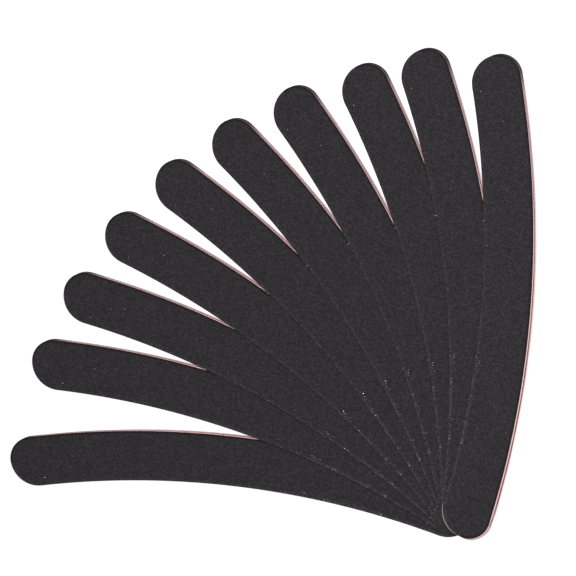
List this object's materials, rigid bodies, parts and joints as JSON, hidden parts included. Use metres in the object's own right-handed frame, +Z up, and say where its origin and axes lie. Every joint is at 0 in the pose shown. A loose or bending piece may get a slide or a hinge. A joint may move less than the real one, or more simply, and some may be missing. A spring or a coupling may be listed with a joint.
{
  "type": "emery board",
  "caption": "Curved emery boards with black grit faces, pink foam cushions and a plastic core, swivelled out into a fan about their stacked ends.",
  "frame": {"origin": "centre of the lowest board's stacked end, on its underside", "axes": "+Z up from the table that the fan lies on; +Y points the way the topmost board points, to within 10 degrees; the lowest board points about along -X"},
  "size_m": [0.2121, 0.1891, 0.0464],
  "materials": {
    "abrasive": "matte",
    "foam": "matte",
    "core": "satin"
  },
  "bodies": {
    "board_01": {"board_01_top_abrasive": "abrasive", "board_01_top_foam": "foam", "board_01_core": "core", "board_01_bottom_foam": "foam", "board_01_bottom_abrasive": "abrasive"},
    "board_02": {"board_02_top_abrasive": "abrasive", "board_02_top_foam": "foam", "board_02_core": "core", "board_02_bottom_foam": "foam", "board_02_bottom_abrasive": "abrasive"},
    "board_03": {"board_03_top_abrasive": "abrasive", "board_03_top_foam": "foam", "board_03_core": "core", "board_03_bottom_foam": "foam", "board_03_bottom_abrasive": "abrasive"},
    "board_04": {"board_04_top_abrasive": "abrasive", "board_04_top_foam": "foam", "board_04_core": "core", "board_04_bottom_foam": "foam", "board_04_bottom_abrasive": "abrasive"},
    "board_05": {"board_05_top_abrasive": "abrasive", "board_05_top_foam": "foam", "board_05_core": "core", "board_05_bottom_foam": "foam", "board_05_bottom_abrasive": "abrasive"},
    "board_06": {"board_06_top_abrasive": "abrasive", "board_06_top_foam": "foam", "board_06_core": "core", "board_06_bottom_foam": "foam", "board_06_bottom_abrasive": "abrasive"},
    "board_07": {"board_07_top_abrasive": "abrasive", "board_07_top_foam": "foam", "board_07_core": "core", "board_07_bottom_foam": "foam", "board_07_bottom_abrasive": "abrasive"},
    "board_08": {"board_08_top_abrasive": "abrasive", "board_08_top_foam": "foam", "board_08_core": "core", "board_08_bottom_foam": "foam", "board_08_bottom_abrasive": "abrasive"},
    "board_09": {"board_09_top_abrasive": "abrasive", "board_09_top_foam": "foam", "board_09_core": "core", "board_09_bottom_foam": "foam", "board_09_bottom_abrasive": "abrasive"},
    "board_10": {"board_10_top_abrasive": "abrasive", "board_10_top_foam": "foam", "board_10_core": "core", "board_10_bottom_foam": "foam", "board_10_bottom_abrasive": "abrasive"}
  },
  "joints": [
    {"name": "board_02_swivel", "type": "hinge", "parent": "board_01", "child": "board_02", "pos_m": [0.00274, 0.00298, 0.00618], "axis": [0.0763, 0.2029, 0.9762], "range_deg": [0, 13]},
    {"name": "board_03_swivel", "type": "hinge", "parent": "board_02", "child": "board_03", "pos_m": [0.00566, 0.00468, 0.01031], "axis": [0.0763, 0.2029, 0.9762], "range_deg": [0, 9.8]},
    {"name": "board_04_swivel", "type": "hinge", "parent": "board_03", "child": "board_04", "pos_m": [0.0083, 0.00608, 0.01453], "axis": [0.0763, 0.2029, 0.9762], "range_deg": [0, 9.8]},
    {"name": "board_05_swivel", "type": "hinge", "parent": "board_04", "child": "board_05", "pos_m": [0.01056, 0.00737, 0.0188], "axis": [0.0763, 0.2029, 0.9762], "range_deg": [0, 9.8]},
    {"name": "board_06_swivel", "type": "hinge", "parent": "board_05", "child": "board_06", "pos_m": [0.01276, 0.00828, 0.02315], "axis": [0.0763, 0.2029, 0.9762], "range_deg": [0, 9.5]},
    {"name": "board_07_swivel", "type": "hinge", "parent": "board_06", "child": "board_07", "pos_m": [0.0143, 0.00991, 0.0274], "axis": [0.0763, 0.2029, 0.9762], "range_deg": [0, 9.5]},
    {"name": "board_08_swivel", "type": "hinge", "parent": "board_07", "child": "board_08", "pos_m": [0.01585, 0.01153, 0.03165], "axis": [0.0763, 0.2029, 0.9762], "range_deg": [0, 9.8]},
    {"name": "board_09_swivel", "type": "hinge", "parent": "board_08", "child": "board_09", "pos_m": [0.0172, 0.01518, 0.0355], "axis": [0.0763, 0.2029, 0.9762], "range_deg": [0, 8.2]},
    {"name": "board_10_swivel", "type": "hinge", "parent": "board_09", "child": "board_10", "pos_m": [0.01894, 0.01482, 0.04015], "axis": [0.0763, 0.2029, 0.9762], "range_deg": [0, 9.4]}
  ]
}
